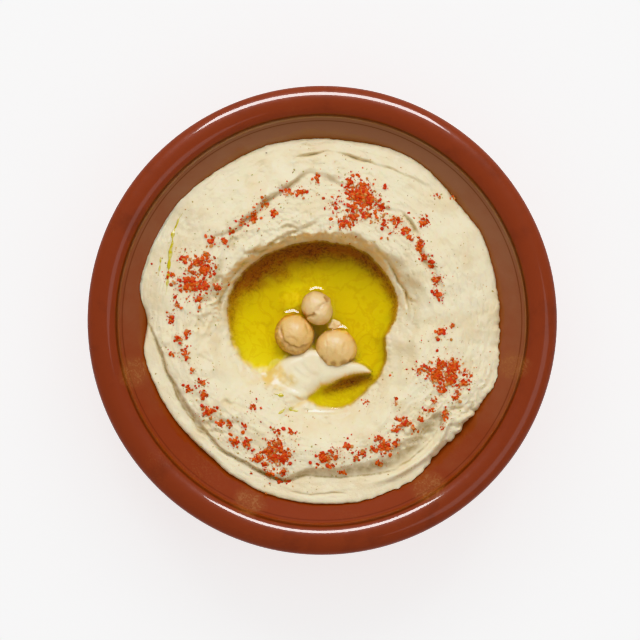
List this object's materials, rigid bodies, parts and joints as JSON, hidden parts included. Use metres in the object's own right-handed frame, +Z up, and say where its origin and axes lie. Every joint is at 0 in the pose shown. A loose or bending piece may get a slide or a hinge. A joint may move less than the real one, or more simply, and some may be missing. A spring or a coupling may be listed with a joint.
{
  "type": "bowl of hummus",
  "caption": "Swirled hummus in a round glazed terracotta bowl, with a well of olive oil, chickpeas and a dusting of paprika.",
  "frame": {"origin": "middle of the bowl's flat base, on the surface that it stands on", "axes": "+Z up through the bowl's axis, +Y towards the far rim, +X to the right; the pointed tongue of hummus in the oil points to +X"},
  "size_m": [0.1498, 0.1498, 0.04],
  "materials": {
    "glazed_terracotta": "gloss",
    "hummus_paste": "satin",
    "olive_oil": "polished",
    "chickpea": "satin"
  },
  "bodies": {
    "root": {"bowl": "glazed_terracotta", "hummus": "hummus_paste", "olive_oil": "olive_oil", "chickpea_top": "chickpea", "chickpea_left": "chickpea", "chickpea_right": "chickpea"}
  },
  "joints": []
}
